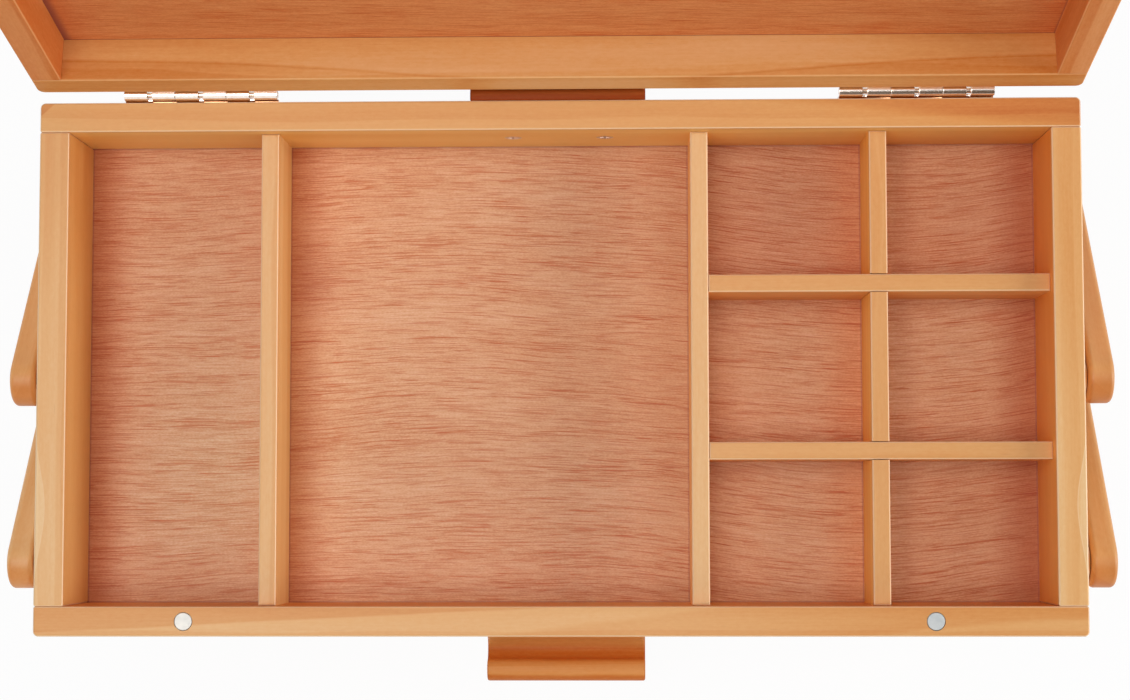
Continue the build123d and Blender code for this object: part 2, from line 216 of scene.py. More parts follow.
def stretched_noise(tree, place, scale, seed, detail=2.0, roughness=0.5):
    """Noise whose blots are stretched: scale is how many to the millimetre along each axis."""
    wide = node(tree, "VectorMath", {0: place, 1: scale}, operation="MULTIPLY").outputs[0]
    settings = {"Vector": wide, "W": seed, "Scale": 1.0, "Detail": detail, "Roughness": roughness}
    return node(tree, "TexNoise", settings, noise_dimensions="4D").outputs[0]


print("colour and noise helpers are ready")

# %% [markdown]
# ## Helpers for node groups
#
# An effect that many materials share is built once as a node group, and each material places it with
# its own values. Copies of the nodes would work too, but a change would have to be made in each.


# %% Group helpers
def new_group(name, inputs, outputs):
    """Starts a node group. Returns it with its own input sockets and its output node's sockets."""
    group = bpy.data.node_groups.new(name, "ShaderNodeTree")
    kinds = {float: "NodeSocketFloat", tuple: "NodeSocketVector"}
    for label, value in inputs.items():
        kind = kinds[type(value)]
        socket = group.interface.new_socket(name=label, in_out="INPUT", socket_type=kind)
        socket.default_value = value
    for label, kind in outputs.items():
        group.interface.new_socket(name=label, in_out="OUTPUT", socket_type="NodeSocket" + kind)
    start = group.nodes.new("NodeGroupInput")
    end = group.nodes.new("NodeGroupOutput")
    return group, start.outputs, end.inputs


def use_group(tree, group, inputs, **values):
    """Places a node group in a material. Its values may be named as Python names are."""
    named = {label.replace("_", " ").title(): value for label, value in values.items()}
    return node(tree, "Group", {**inputs, **named}, node_tree=group).outputs


print("group helpers are ready")

# %% [markdown]
# ## White floor
#
# The floor looks white because most of what the camera and the metal see of it is its own plain white.
# More light could whiten it too, but that would bleach the wood. This way the lamps stay at a plain
# level, and the box's shadow still falls on the floor.


# %% White floor
def seen_rays(tree):
    """Two masks: rays that show something to the camera, and those of them that come off a mirror."""
    rays = node(tree, "LightPath").outputs
    seen = calc(tree, "MAXIMUM", rays["Is Camera Ray"], rays["Is Glossy Ray"])
    return calc(tree, "MAXIMUM", seen, rays["Is Transmission Ray"]), rays["Is Glossy Ray"]


floor_half, floor_drop, own_white_share = 3.0, 0.0002, 0.94
floor_mesh = bpy.data.meshes.new("floor")
corners = ((-1, -1), (1, -1), (1, 1), (-1, 1))
floor_mesh.from_pydata([(x * floor_half, y * floor_half, 0) for x, y in corners], [], [(0, 1, 2, 3)])
floor = add_object("floor", floor_mesh)
floor.location.z = -floor_drop
floor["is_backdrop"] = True

floor_paint = bpy.data.materials.new("white floor")
floor_paint.use_nodes = True
tree = floor_paint.node_tree
tree.nodes.clear()
share = times(tree, seen_rays(tree)[0], own_white_share)
matt = node(tree, "BsdfDiffuse", {"Color": (0.86, 0.86, 0.86, 1)}).outputs[0]
own_white = node(tree, "Emission", {"Color": (1, 1, 1, 1), "Strength": 1.0}).outputs[0]
floor_mix = node(tree, "MixShader", {0: share, 1: matt, 2: own_white}).outputs[0]
node(tree, "OutputMaterial", {"Surface": floor_mix})
floor_mesh.materials.append(floor_paint)
print("the floor is", 2 * floor_half, "m wide")

# %% [markdown]
# ## The room around
#
# An even white surround gives a faint light from everywhere. The front right of the room is unlit,
# which shows only as a dark band in the metal. A picture of a room could do both, but a plain colour
# with one dark corner is easier to change.

# %% The room around
surround, unlit_colour = 0.17, (0.09, 0.055, 0.03, 1)
world = bpy.data.worlds.new("studio")
world.use_nodes = True
bpy.context.scene.world = world
tree = world.node_tree
tree.nodes.clear()
seen, mirrored = seen_rays(tree)
towards = node(tree, "TexCoord").outputs["Generated"]
x, y, z = node(tree, "SeparateXYZ", {0: towards}).outputs
unlit = times(tree, ease(tree, x, -0.06, 0.06), ease(tree, y, 0.06, -0.04))
unlit = times(tree, unlit, ease(tree, z, 0.02, 0.12))
unlit = times(tree, unlit, mirrored)
sky = blend(tree, unlit, (1, 1, 1, 1), unlit_colour)
strength = node(tree, "MapRange", {"Value": seen, "To Min": surround, "To Max": 1.0}).outputs[0]
around = node(tree, "Background", {"Color": sky, "Strength": strength}).outputs[0]
node(tree, "OutputWorld", {"Surface": around})
print("the surround lights the box at a strength of", surround)

# %% [markdown]
# ## Lamps
#
# A large soft lamp hangs overhead, a little to the left, and a broad low lamp at the right reaches
# into the tray. Weaker lamps fill the other sides. The lamp overhead also shows in the satin varnish
# as a pale veil, which the walls hide near the left edges of the left compartments and the right
# edges of the right ones. A picture of a sky could light the box too, but lamps with names are easier
# to move and to balance.


# %% Lamps
def soft_lamp(name, place, target, size, power, mirrored):
    """A square lamp that shines from a place towards a target, and may be hidden from reflections."""
    data = bpy.data.lights.new(name, "AREA")
    data.shape = "SQUARE"
    data.size = size
    data.energy = power
    lamp = add_object(name, data)
    lamp.location = place
    lamp.rotation_euler = (Vector(target) - Vector(place)).to_track_quat("-Z", "Y").to_euler()
    lamp.visible_glossy = mirrored


tray_middle = (0, 0, 0.15)
LAMPS = {
    "top lamp": ((-0.34, -0.06, 2.1), 1.0, 15.6, True),
    "right lamp": ((1.8, 0.0, 0.8), 1.0, 22.5, True),
    "left lamp": ((-1.8, 0.0, 0.8), 1.0, 4.2, True),
    "front lamp": ((0.0, -1.8, 0.8), 1.0, 9.0, False),
    "rear lamp": ((0.0, 1.8, 0.9), 1.0, 5.0, True),
}
for name, (place, size, power, mirrored) in LAMPS.items():
    soft_lamp(name, place, tray_middle, size, power, mirrored)
print("hung", len(LAMPS), "lamps")

# %% [markdown]
# ## How a board's grain is made
#
# A board is a slice of a tree, so the honest way to draw its grain is in three dimensions: rings round
# a core that lies outside the board, wandering a little as the tree grew. A cut through those rings
# then gives long streaks along the board and ring ends on the board's end, and they all agree at the
# edges. Painting each face would never line up so well.
#
# The group takes a place measured along the grain, across it and through it. Over the rings it lays
# broad drifts of tone, fine fibres, a mottle and a few dark hairlines. It gives a colour, and a height
# for the varnish to follow. Sanded softwood under varnish is calm, so every part of it stays faint.

# %% The board grain group
board_group, given, result = new_group(
    "Board grain",
    {
        "Vector": (0.0, 0.0, 0.0), "Tone": 0.4, "Ring Width": 9.0, "Core Across": -60.0,
        "Core Through": 35.0, "Ring Contrast": 0.11, "Hairlines": 0.5, "Seed": 0.0,
    },
    {"Color": "Color", "Height": "Float"},
)
tree = board_group
place, along, across, through = in_mm(tree, given["Vector"])
seed = given["Seed"]

ring_wander, mean_late = 9.0, 0.3
wander = swing(tree, stretched_noise(tree, place, (0.006, 0.03, 0.03), seed), ring_wander)
core_across = calc(tree, "POWER", minus(tree, across, given["Core Across"]), 2.0)
core_through = calc(tree, "POWER", minus(tree, through, given["Core Through"]), 2.0)
reach = calc(tree, "SQRT", plus(tree, core_across, core_through))
count = calc(tree, "DIVIDE", plus(tree, reach, wander), given["Ring Width"])
within = calc(tree, "FRACT", count)
late = times(tree, ease(tree, within, 0.25, 0.88), ease(tree, within, 0.93, 1.0, 1.0, 0.0))
ring_number = node(tree, "CombineXYZ", {0: calc(tree, "FLOOR", count), 1: seed}).outputs[0]
ring_luck = node(tree, "TexWhiteNoise", {"Vector": ring_number}, noise_dimensions="3D").outputs[0]

drift = stretched_noise(tree, place, (0.007, 0.09, 0.09), seed)
fibre = stretched_noise(tree, place, (0.035, 1.3, 1.3), seed, 3.0, 0.6)
mottle = stretched_noise(tree, place, (0.35, 0.9, 0.9), seed, 4.0, 0.7)
hair = stretched_noise(tree, place, (0.09, 1.7, 1.7), seed, 1.0)
hair = times(tree, ease(tree, hair, 0.73, 0.79), given["Hairlines"])

tone = given["Tone"]
ring_tone = minus(tree, late, mean_late)
ring_tone = plus(tree, ring_tone, minus(tree, ring_luck, 0.5))
ring_tone = times(tree, ring_tone, given["Ring Contrast"])
for part, share in ((drift, 0.36), (fibre, 0.2), (mottle, 0.3)):
    tone = plus(tree, tone, swing(tree, part, share))
tone = plus(tree, tone, ring_tone)
wood_colour = ramp(
    tree,
    tone,
    (0.0, (0.84, 0.55, 0.27)),
    (0.33, (0.77, 0.405, 0.145)),
    (0.66, (0.69, 0.29, 0.07)),
    (1.0, (0.56, 0.155, 0.02)),
)
hairline = (0.42, 0.14, 0.035, 1)
wood_colour = blend(tree, times(tree, hair, 0.5), wood_colour, hairline)
tree.links.new(wood_colour, result["Color"])
height = plus(tree, times(tree, fibre, 0.6), times(tree, late, 0.25))
tree.links.new(minus(tree, height, hair), result["Height"])
print("group", board_group.name, "has", len(board_group.nodes), "nodes")

# %% [markdown]
# ## Bands in a board
#
# Wood is seldom the same right across a board. Where it was cut near the bark a paler band runs along
# one edge, often a little askew, and where a knot lies deeper in the tree the band swells out round
# it in a bow. So a band is a line across the board, with a slope and one swelling, and everything
# beyond it changes tone. The same group gives the fine pale line that follows some of these borders.

# %% The band group
band_group, given, result = new_group(
    "Band",
    {
        "Vector": (0.0, 0.0, 0.0), "Place": 0.0, "Slope": 0.0, "Swell": 0.0, "Middle": 0.0,
        "Reach": 20.0, "Softness": 0.6, "Seed": 0.0,
    },
    {"Beyond": "Float", "Line": "Float"},
)
tree = band_group
place, along, across, through = in_mm(tree, given["Vector"])
bow = bell(tree, along, given["Middle"], given["Reach"])
border = plus(tree, given["Place"], times(tree, given["Swell"], bow))
border = plus(tree, border, times(tree, given["Slope"], along))
wobble = stretched_noise(tree, place, (0.03, 0.1, 0.1), given["Seed"])
border = plus(tree, border, minus(tree, wobble, 0.5))
past = calc(tree, "DIVIDE", minus(tree, across, border), given["Softness"])
tree.links.new(ease(tree, past, -1.0, 1.0), result["Beyond"])
tree.links.new(ease(tree, calc(tree, "ABSOLUTE", past), 0.8, 0.2), result["Line"])
print("group", band_group.name, "has", len(band_group.nodes), "nodes")

# %% [markdown]
# ## Eased edges
#
# The maker ran sandpaper along every edge, and the varnish is thin there, so each edge shows as a
# fine pale line: partly that rubbed wood, and partly a painted highlight where the rounding would catch
# the light. The solid model already has the small rounding. A mask for it needs no painting: on a flat
# face the surface points straight along one axis of the board, and only on the rounding does it point
# between two. The same normal tells the ends of a board, where the cut fibres drink the varnish and dry
# darker and redder; on the arms' rounded ends this darkening is also painted shade where they curve
# away.

# %% The eased edge group
edge_group, given, result = new_group(
    "Eased edge", {"Normal": (0.0, 0.0, 1.0)}, {"Mask": "Float", "End": "Float"}
)
tree = edge_group
straight = node(tree, "VectorMath", {0: given["Normal"]}, operation="ABSOLUTE").outputs[0]
x, y, z = node(tree, "SeparateXYZ", {0: straight}).outputs
most = calc(tree, "MAXIMUM", calc(tree, "MAXIMUM", x, y), z)
tree.links.new(ease(tree, most, 0.995, 0.8), result["Mask"])
tree.links.new(ease(tree, x, 0.3, 0.9), result["End"])
print("group", edge_group.name, "has", len(edge_group.nodes), "nodes")

# %% [markdown]
# ## Light and shade painted inside the tray
#
# Below the rim the walls and dividers take another tone, set board by board: painted shade on some
# faces, such as the darker and redder inner face of the right wall, and painted light on others, such
# as the rear wall's inner face. The mask for this asks only where a point lies: between the four walls,
# and how far below the board's own upper edge.

# %% The inside group
inner_x = (face_of("tray_left_wall", "x", 1) / MM, face_of("tray_right_wall", "x", -1) / MM)
inner_y = (face_of("tray_front_wall", "y", 1) / MM, face_of("tray_rear_wall", "y", -1) / MM)
# Mask for the painted light and shade on the faces inside the tray.
inside_light_group, given, result = new_group(
    "Inside the tray", {"Vector": (0.0, 0.0, 0.0), "Top": 0.0}, {"Mask": "Float"}
)
tree = inside_light_group
place, x, y, z = in_mm(tree, given["Vector"])
mask = ease(tree, minus(tree, z, given["Top"]), -0.7, -2.5)
for value, (low, high) in ((x, inner_x), (y, inner_y)):
    middle = (low + high) / 2
    from_middle = calc(tree, "ABSOLUTE", minus(tree, value, middle))
    inside = ease(tree, from_middle, high - middle + 0.5, high - middle + 0.2)
    mask = times(tree, mask, inside)
tree.links.new(mask, result["Mask"])
print("inside of the tray, in mm:", *(round(high - low, 1) for low, high in (inner_x, inner_y)))

# %% [markdown]
# ## The veneer of the plywood
#
# The floor and the lid's panel are plywood faced with a reddish tropical veneer. Its open pores are
# the most lively thing on the box: thousands of fine red-brown dashes along the grain, under half a
# millimetre thick and as long as a fingernail, drifting and slanting together, and dipping where the
# log had a bend. Noise that is stretched along the grain and cut at a level gives dashes of one size,
# so two sizes are laid over each other. Between them lie paler streaks in broad patches, partly paler
# wood and partly a painted sheen.

# %% The veneer group
veneer_group, given, result = new_group(
    "Veneer",
    {"Vector": (0.0, 0.0, 0.0), "Tone": 0.5, "Slant": 0.0, "Dip": 0.0, "Dip Along": 0.0, "Seed": 0.0},
    {"Color": "Color", "Height": "Float"},
)
tree = veneer_group
place, along, across, through = in_mm(tree, given["Vector"])
seed = given["Seed"]
sway_width, dip_reach = 11.0, 90.0
sway = swing(tree, stretched_noise(tree, place, (0.009, 0.013, 0.02), seed, 2.0, 0.35), sway_width)
lean = times(tree, along, given["Slant"])
dip = times(tree, bell(tree, along, given["Dip Along"], dip_reach), given["Dip"])
for bend in (sway, lean, dip):
    across = plus(tree, across, bend)
flow = node(tree, "CombineXYZ", {0: along, 1: across, 2: through}).outputs[0]

long_pores = stretched_noise(tree, flow, (0.05, 2.4, 0.3), seed, 1.0)
short_pores = stretched_noise(tree, flow, (0.12, 3.1, 0.4), seed, 1.0)
specks = stretched_noise(tree, flow, (1.0, 2.4, 0.6), seed, 2.0, 0.6)
# Paler streaks between the pores: paler wood and partly a painted sheen.
pale_sheen_streaks = stretched_noise(tree, flow, (0.07, 1.9, 0.5), plus(tree, seed, 9.0), 2.0, 0.6)
bands = stretched_noise(tree, flow, (0.007, 0.12, 0.05), seed, 3.0, 0.6)
clouds = stretched_noise(tree, flow, (0.013, 0.02, 0.02), seed)

crowd = ease(tree, bands, 0.35, 0.65, 0.55, 1.0)
long_dark = times(tree, ease(tree, long_pores, 0.54, 0.66), 0.8)
short_dark = times(tree, ease(tree, short_pores, 0.55, 0.64), 0.65)
pores = calc(tree, "MULTIPLY", plus(tree, long_dark, short_dark), crowd, clamp=True)

tone = given["Tone"]
for part, share in ((bands, 0.45), (clouds, 0.45), (pale_sheen_streaks, -0.9), (specks, 0.9)):
    tone = plus(tree, tone, swing(tree, part, share))
veneer_colour = ramp(
    tree,
    tone,
    (0.0, (0.88, 0.57, 0.37)),
    (0.4, (0.78, 0.42, 0.225)),
    (0.7, (0.68, 0.29, 0.125)),
    (1.0, (0.56, 0.18, 0.055)),
)
pore_colour = (0.58, 0.145, 0.033, 1)
veneer_colour = blend(tree, pores, veneer_colour, pore_colour)
tree.links.new(veneer_colour, result["Color"])
tree.links.new(minus(tree, times(tree, specks, 0.2), pores), result["Height"])
print("group", veneer_group.name, "has", len(veneer_group.nodes), "nodes")

# %% [markdown]
# ## Varnish, and which way the grain runs
#
# The varnish is a clear satin film: a little gloss in the base and a thin coat over it. Under it each
# board's grain runs its own way. The lid's boards are turned back with the lid, and the arms slope,
# so their grain is turned by the same angle. The boards could be unwrapped instead, but turning the
# place that a group looks at is simpler and never stretches the grain.

# %% Varnish and grain directions
lid_angle, arm_angle = radians(103.0), radians(-141.68)
GRAIN = {
    "along x": (0.0, 0.0, 0.0),
    "along y": (0.0, 0.0, -pi / 2),
    "lid along x": (lid_angle, 0.0, 0.0),
    "lid on edge": (lid_angle - pi / 2, 0.0, 0.0),
    "lid along y": (lid_angle, 0.0, -pi / 2),
    "along arm": (arm_angle, 0.0, -pi / 2),
}


def new_material(name):
    """Starts a material. Returns it with its node tree and its shader."""
    made = bpy.data.materials.new(name)
    made.use_nodes = True
    return made, made.node_tree, made.node_tree.nodes["Principled BSDF"]


def varnished(name, roughness, coat):
    """Starts a material with a satin film."""
    made, tree, shader = new_material(name)
    shader.inputs["Roughness"].default_value = roughness
    shader.inputs["IOR"].default_value = 1.48
    shader.inputs["Coat Weight"].default_value = coat
    shader.inputs["Coat Roughness"].default_value = 0.25
    return made, tree, shader


def turned(tree, rotation, kind="POINT"):
    """The place, or with another kind the direction, in the board's own axes."""
    output = "Object" if kind == "POINT" else "Normal"
    source = node(tree, "TexCoord").outputs[output]
    return node(tree, "Mapping", {"Vector": source, "Rotation": rotation}, vector_type=kind).outputs[0]


def surface(tree, shader, colour, height, strength, depth):
    """Gives a shader its colour and a fine relief with a depth in mm."""
    tree.links.new(colour, shader.inputs["Base Color"])
    bump = node(tree, "Bump", {"Height": height, "Strength": strength, "Distance": depth * MM})
    tree.links.new(bump.outputs["Normal"], shader.inputs["Normal"])


def dress(material, name):
    """Gives a CAD node a material."""
    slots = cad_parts[name].data.materials
    slots.clear()
    slots.append(material)


print("the grain runs", len(GRAIN), "ways")

# %% [markdown]
# ## Solid wood
#
# A board is cut, varnished and rubbed down, and this function follows that order: the grain with its
# bands of tone, a film of varnish, painted light and shade on the faces inside the tray, the thirsty end
# grain with painted shade on the arms' ends, and the pale eased edges over all, partly rubbed wood and
# partly painted highlight. Each material could be built by hand, but then the boards wouldn't look as if
# one maker had finished them.

# %% Solid wood
END_GRAIN_AND_SHADE, PALE_LINE = (0.84, 0.64, 0.46), (0.9, 0.68, 0.42, 1)


def board_material(
    name, grain, seed, tone=0.4, film=(1.0, 1.0, 1.0), inside=(1.0, 0.9, 0.72), top=None, bands=(),
    eased=0.65, edge=(0.94, 0.74, 0.5), coat=0.06, shine=0.5, **values
):
    """Solid wood whose grain runs in a named direction, under films of given colours, some painted light
    and some painted shade.
    """
    made, tree, shader = varnished(name, 0.46, coat)
    shader.inputs["Specular IOR Level"].default_value = shine
    rotation = GRAIN[grain]
    place = turned(tree, rotation)
    lines = []
    for slot, (shift, line, band) in enumerate(bands):
        found = use_group(tree, band_group, {"Vector": place, "Seed": seed + slot}, **band)
        tone = plus(tree, times(tree, found["Beyond"], shift), tone)
        lines.append(times(tree, found["Line"], line))
    wood = use_group(tree, board_group, {"Vector": place, "Tone": tone, "Seed": seed}, **values)
    colour = through_film(tree, 1.0, wood["Color"], film)
    for line in lines:
        colour = blend(tree, line, colour, PALE_LINE)
    # Painted light and shade below the rim, on faces inside the tray, in a colour given per board.
    if top is not None:
        own_place = node(tree, "TexCoord").outputs["Object"]
        inside_light_mask = use_group(tree, inside_light_group, {"Vector": own_place, "Top": top / MM})["Mask"]
        colour = through_film(tree, inside_light_mask, colour, inside)
    edges = use_group(tree, edge_group, {"Normal": turned(tree, rotation, "NORMAL")})
    # Darker ends: end grain that drinks varnish, and painted shade where the arms' rounded ends curve
    # away.
    colour = through_film(tree, edges["End"], colour, END_GRAIN_AND_SHADE)
    # Pale eased edges: partly rubbed wood, partly a painted highlight.
    colour = blend(tree, times(tree, edges["Mask"], eased), colour, (*edge, 1))
    surface(tree, shader, colour, wood["Height"], 0.35, 0.06)
    return made


print("solid wood is ready to cut")

# %% [markdown]
# ## Bands of the boards that catch the eye
#
# The rims are the largest plain surfaces, so their few strong bands are placed one by one. Each says
# how much the tone changes beyond its border, how clearly a pale line follows it, and where the
# border runs, in mm across the board. A slope of 1 with a wide softness is no line at all: it changes
# a board slowly towards one end. The bands of the front pull are painted shade: darker in the outer
# half of the groove and along the lip's front edge. The band of the rear pull is painted light on its
# outer part, under the open lid. Noise could place the bands too, but then the borders that catch the
# eye would run anywhere.

# %% Bands
# Painted shade on the front pull, in its groove and along its lip's front edge.
PULL_BANDS = (
    (-0.4, 0.0, dict(place=-124.8, softness=0.8)),
    (0.5, 0.0, dict(place=-118.7, softness=1.2)),
    (-0.42, 0.0, dict(place=-113.4, softness=2.6)),
)
# Painted light on the rear pull's outer part, which lies in the open lid's shadow.
REAR_PULL_BANDS = ((-0.8, 0.0, dict(place=121.0, softness=2.0)),)
LEFT_BANDS = (
    (-0.2, 0.25, dict(place=200.6, swell=-4.4, middle=-54.0, reach=21.0, softness=0.35)),
    (-0.16, 0.0, dict(place=191.8, softness=0.5)),
    (0.16, 0.0, dict(place=244.0, slope=-1.0, softness=40.0)),
)
RIGHT_BANDS = (
    (0.22, 0.5, dict(place=-200.6, swell=4.4, middle=-54.0, reach=21.0, softness=0.35)),
    (-0.1, 0.0, dict(place=-191.0, slope=0.004, softness=0.8)),
    (-0.14, 0.0, dict(place=-194.0, slope=1.0, softness=40.0)),
)
FRONT_BANDS = (
    (0.3, 0.0, dict(place=-91.3, slope=0.0485, softness=0.5)),
    (-0.16, 0.0, dict(place=-99.2, slope=0.123, softness=1.2)),
    (0.22, 0.0, dict(place=-110.0, swell=14.0, middle=200.0, reach=110.0, softness=1.2)),
    (0.2, 0.0, dict(place=-10.0, slope=-1.0, softness=60.0)),
)
REAR_BANDS = (
    (0.3, 0.0, dict(place=111.0, slope=-0.1, softness=3.0)),
    (0.3, 0.0, dict(place=273.2, slope=0.88, softness=0.4)),
    (0.14, 0.0, dict(place=227.0, slope=-1.0, softness=50.0)),
)
LID_REAR_BANDS = (
    (0.12, 0.0, dict(place=65.2, swell=-10.0, middle=10.0, reach=105.0, softness=0.4)),
    (-0.24, 0.0, dict(place=66.0, swell=-10.0, middle=10.0, reach=105.0, softness=0.7)),
    (0.12, 0.0, dict(place=175.0, slope=1.0, softness=40.0)),
    (0.22, 0.0, dict(place=200.0, slope=-1.0, softness=50.0)),
)
print("placed", len(LEFT_BANDS + RIGHT_BANDS + FRONT_BANDS + REAR_BANDS), "bands on the tray's rim")

# %% [markdown]
# ## Varnished wood, board by board
#
# Every board is cut from another place in another tree, so each gets its own material, with a grain
# direction, a seed and the values in which it differs from its neighbours. The lid has a duller
# finish than the tray. Its boards and the pulls take darker tones, which are painted shade, and the
# arms' films are painted light on the left arms and painted shade on the right ones. One material for
# all would be shorter, but it would look like a single block.

# %% Varnished wood
divider_top = face_of("left_divider", "z", 1)
LID_FINISH = dict(coat=0.0, shine=0.06, eased=0.35, edge=(0.9, 0.58, 0.3))
wooden = []


def board(name, grain, seed, **values):
    """Gives a wooden node its own material."""
    dress(board_material(name.replace("_", " "), grain, seed, **values), name)
    wooden.append(name)


board(
    "tray_front_wall", "along x", 11.0, tone=0.2, core_across=-180.0, core_through=190.0,
    film=(1.0, 0.98, 0.94), top=rim, bands=FRONT_BANDS,
)
board(
    "tray_rear_wall", "along x", 23.0, tone=0.42, core_across=190.0, core_through=150.0,
    film=(1.0, 1.01, 0.95), inside=(1.16, 1.3, 1.2), top=rim, bands=REAR_BANDS,
)
board(
    "tray_left_wall", "along y", 31.0, tone=0.42, core_across=-260.0, core_through=190.0,
    film=(1.0, 1.02, 1.05), inside=(1.06, 1.12, 1.08), top=rim, bands=LEFT_BANDS,
)
board(
    "tray_right_wall", "along y", 47.0, tone=0.26, core_across=270.0, core_through=180.0,
    film=(1.03, 1.08, 1.13), inside=(1.1, 0.74, 0.32), top=rim, bands=RIGHT_BANDS,
)
board("left_divider", "along y", 53.0, tone=0.34, top=divider_top, inside=(1.0, 1.1, 1.12))
board("centre_divider", "along y", 61.0, tone=0.14, top=divider_top, inside=(1.2, 1.06, 0.78))
board("grid_long_divider", "along y", 71.0, tone=0.48, top=divider_top, inside=(1.3, 1.4, 0.88))
board("grid_front_divider", "along x", 83.0, tone=0.45, top=divider_top)
board("grid_rear_divider", "along x", 89.0, tone=0.45, top=divider_top)
# The lid's darker tones are painted shade.
board("lid_front_rail", "lid along x", 97.0, tone=0.7, film=(1.0, 0.9, 0.75), **LID_FINISH)
board(
    "lid_rear_rail", "lid on edge", 101.0, tone=0.66, film=(1.08, 1.27, 1.8), bands=LID_REAR_BANDS,
    **LID_FINISH,
)
board("lid_left_rail", "lid along y", 103.0, tone=0.75, film=(1.13, 1.1, 1.5), **LID_FINISH)
board("lid_right_rail", "lid along y", 107.0, tone=0.75, film=(1.1, 1.06, 1.44), **LID_FINISH)
board("base_front_wall", "along x", 109.0, tone=0.42)
board("base_rear_wall", "along x", 113.0, tone=0.44)
board("base_left_wall", "along y", 127.0, tone=0.4)
board("base_right_wall", "along y", 131.0, tone=0.44)
# The front pull's dark tone is painted shade.
board(
    "front_pull", "along x", 137.0, tone=0.95, film=(1.02, 0.95, 1.0), bands=PULL_BANDS, eased=0.0,
    coat=0.0, shine=0.2,
)
# The rear pull's dark film is painted shade, as it lies under the open lid.
board(
    "rear_pull", "along x", 139.0, tone=0.9, film=(0.6, 0.33, 0.24), bands=REAR_PULL_BANDS, eased=0.0,
    coat=0.0, shine=0.1,
)
# Arm films: painted light on the left arms, painted shade on the right arms.
board("arm_front_left", "along arm", 149.0, tone=0.22, film=(1.1, 1.04, 1.0), eased=0.0)
board("arm_rear_left", "along arm", 151.0, tone=0.34, film=(1.1, 1.02, 0.96), eased=0.0)
board("arm_front_right", "along arm", 157.0, tone=0.45, film=(0.92, 0.88, 0.87), eased=0.0)
board("arm_rear_right", "along arm", 163.0, tone=0.45, film=(0.91, 0.88, 0.9), eased=0.0)
board("lower_pivot_spacers", "along y", 167.0, tone=0.6)
board("upper_pivot_spacers", "along y", 173.0, tone=0.6)
print("varnished", len(wooden), "wooden nodes")

# %% [markdown]
# ## Varnished plywood
#
# The panels get the same satin film. On the tray's floor a fine dark line runs along the foot of every
# wall. Beside some walls lies a broader strip of painted shade, and beside others a strip of painted
# light that thins a wall's shadow. These follow from how far a point lies from the wall faces, which are
# read from the model. A few soft round patches are painted light and painted shade too.


# %% Varnished plywood
FOOT_LINE = (0.3, 0.08, 0.05, 1)


def beside(tree, value, face, side, reach):
    """A mask that fades over a distance in mm from a face, on one side of it."""
    away = times(tree, minus(tree, value, face / MM), side)
    return times(tree, ease(tree, away, reach, reach * 0.1), ease(tree, away, -1.0, -0.5))


def plywood_material(name, grain, seed, film=(1.0, 1.0, 1.0), wall_light_and_shade=(), feet=(), painted_patches=(), **values):
    """Plywood whose veneer runs in a named direction, under a film of varnish of a given colour."""
    made, tree, shader = varnished(name, 0.5, 0.04)
    place = turned(tree, GRAIN[grain])
    veneer = use_group(tree, veneer_group, {"Vector": place, "Seed": seed}, **values)
    colour = through_film(tree, 1.0, veneer["Color"], film)
    axes = dict(zip("xyz", in_mm(tree, node(tree, "TexCoord").outputs["Object"])[1:]))
    axes["across"] = in_mm(tree, place)[2]
    # Round patches of painted light and painted shade.
    for x, y, reach, shading_film in painted_patches:
        patch = times(tree, bell(tree, axes["x"], x, reach), bell(tree, axes["y"], y, reach))
        colour = through_film(tree, patch, colour, shading_film)
    # Strips beside the walls: painted shade, and painted light where the colour is above 1.
    for axis, face, side, reach, shading_film in wall_light_and_shade:
        colour = through_film(tree, beside(tree, axes[axis], face, side, reach), colour, shading_film)
    # A fine dark line at the foot of each wall.
    for axis, face, side, reach, weight in feet:
        line = times(tree, beside(tree, axes[axis], face, side, reach), weight)
        colour = blend(tree, line, colour, FOOT_LINE)
    surface(tree, shader, colour, veneer["Height"], 0.5, 0.08)
    return made


def strip_by(name, axis, side, *rest):
    """A strip beside a node's face: its axis, place, side and reach, and its film or weight."""
    return axis, face_of(name, axis, side), side, *rest


print("plywood is ready to cut")

# %% [markdown]
# ## The tray's floor
#
# The floor is what the eye falls on, so its strips and patches of painted light and shade are placed one
# by one, with their reach in mm and the colour of their film. A colour above 1 lightens the wood as
# painted light, and one below 1 darkens it as painted shade. The left compartment is the palest, a
# painted sheen, and the strips of painted shade beside the walls are the reddest. Noise could make the
# floor uneven too, but it wouldn't know where the walls stand.

# %% The tray's floor
foot = (0.9, 0.55)
left_of = ("tray_left_wall", "left_divider", "centre_divider")
right_of = ("left_divider", "centre_divider", "grid_long_divider", "tray_right_wall")
foot_faces = [strip_by(name, "x", 1, *foot) for name in left_of]
foot_faces += [strip_by(name, "x", -1, *foot) for name in right_of]
foot_faces += [strip_by("tray_front_wall", "y", 1, *foot), strip_by("tray_rear_wall", "y", -1, *foot)]
broad, medium, narrow = 22.0, 11.0, 5.0
# Painted shade beside the walls, and painted light beside the long divider's right face and the front
# wall.
floor_wall_light_and_shade = (
    strip_by("tray_left_wall", "x", 1, broad, (0.81, 0.54, 0.37)),
    strip_by("left_divider", "x", 1, broad, (0.8, 0.56, 0.38)),
    strip_by("centre_divider", "x", -1, broad, (0.86, 0.83, 0.76)),
    strip_by("grid_long_divider", "x", -1, broad, (0.95, 0.78, 0.62)),
    strip_by("grid_long_divider", "x", 1, medium, (1.25, 1.5, 1.65)),
    strip_by("tray_right_wall", "x", -1, broad, (0.7, 0.43, 0.27)),
    strip_by("tray_front_wall", "y", 1, broad, (0.94, 0.89, 0.84)),
    strip_by("tray_front_wall", "y", 1, narrow, (1.12, 1.2, 1.25)),
)
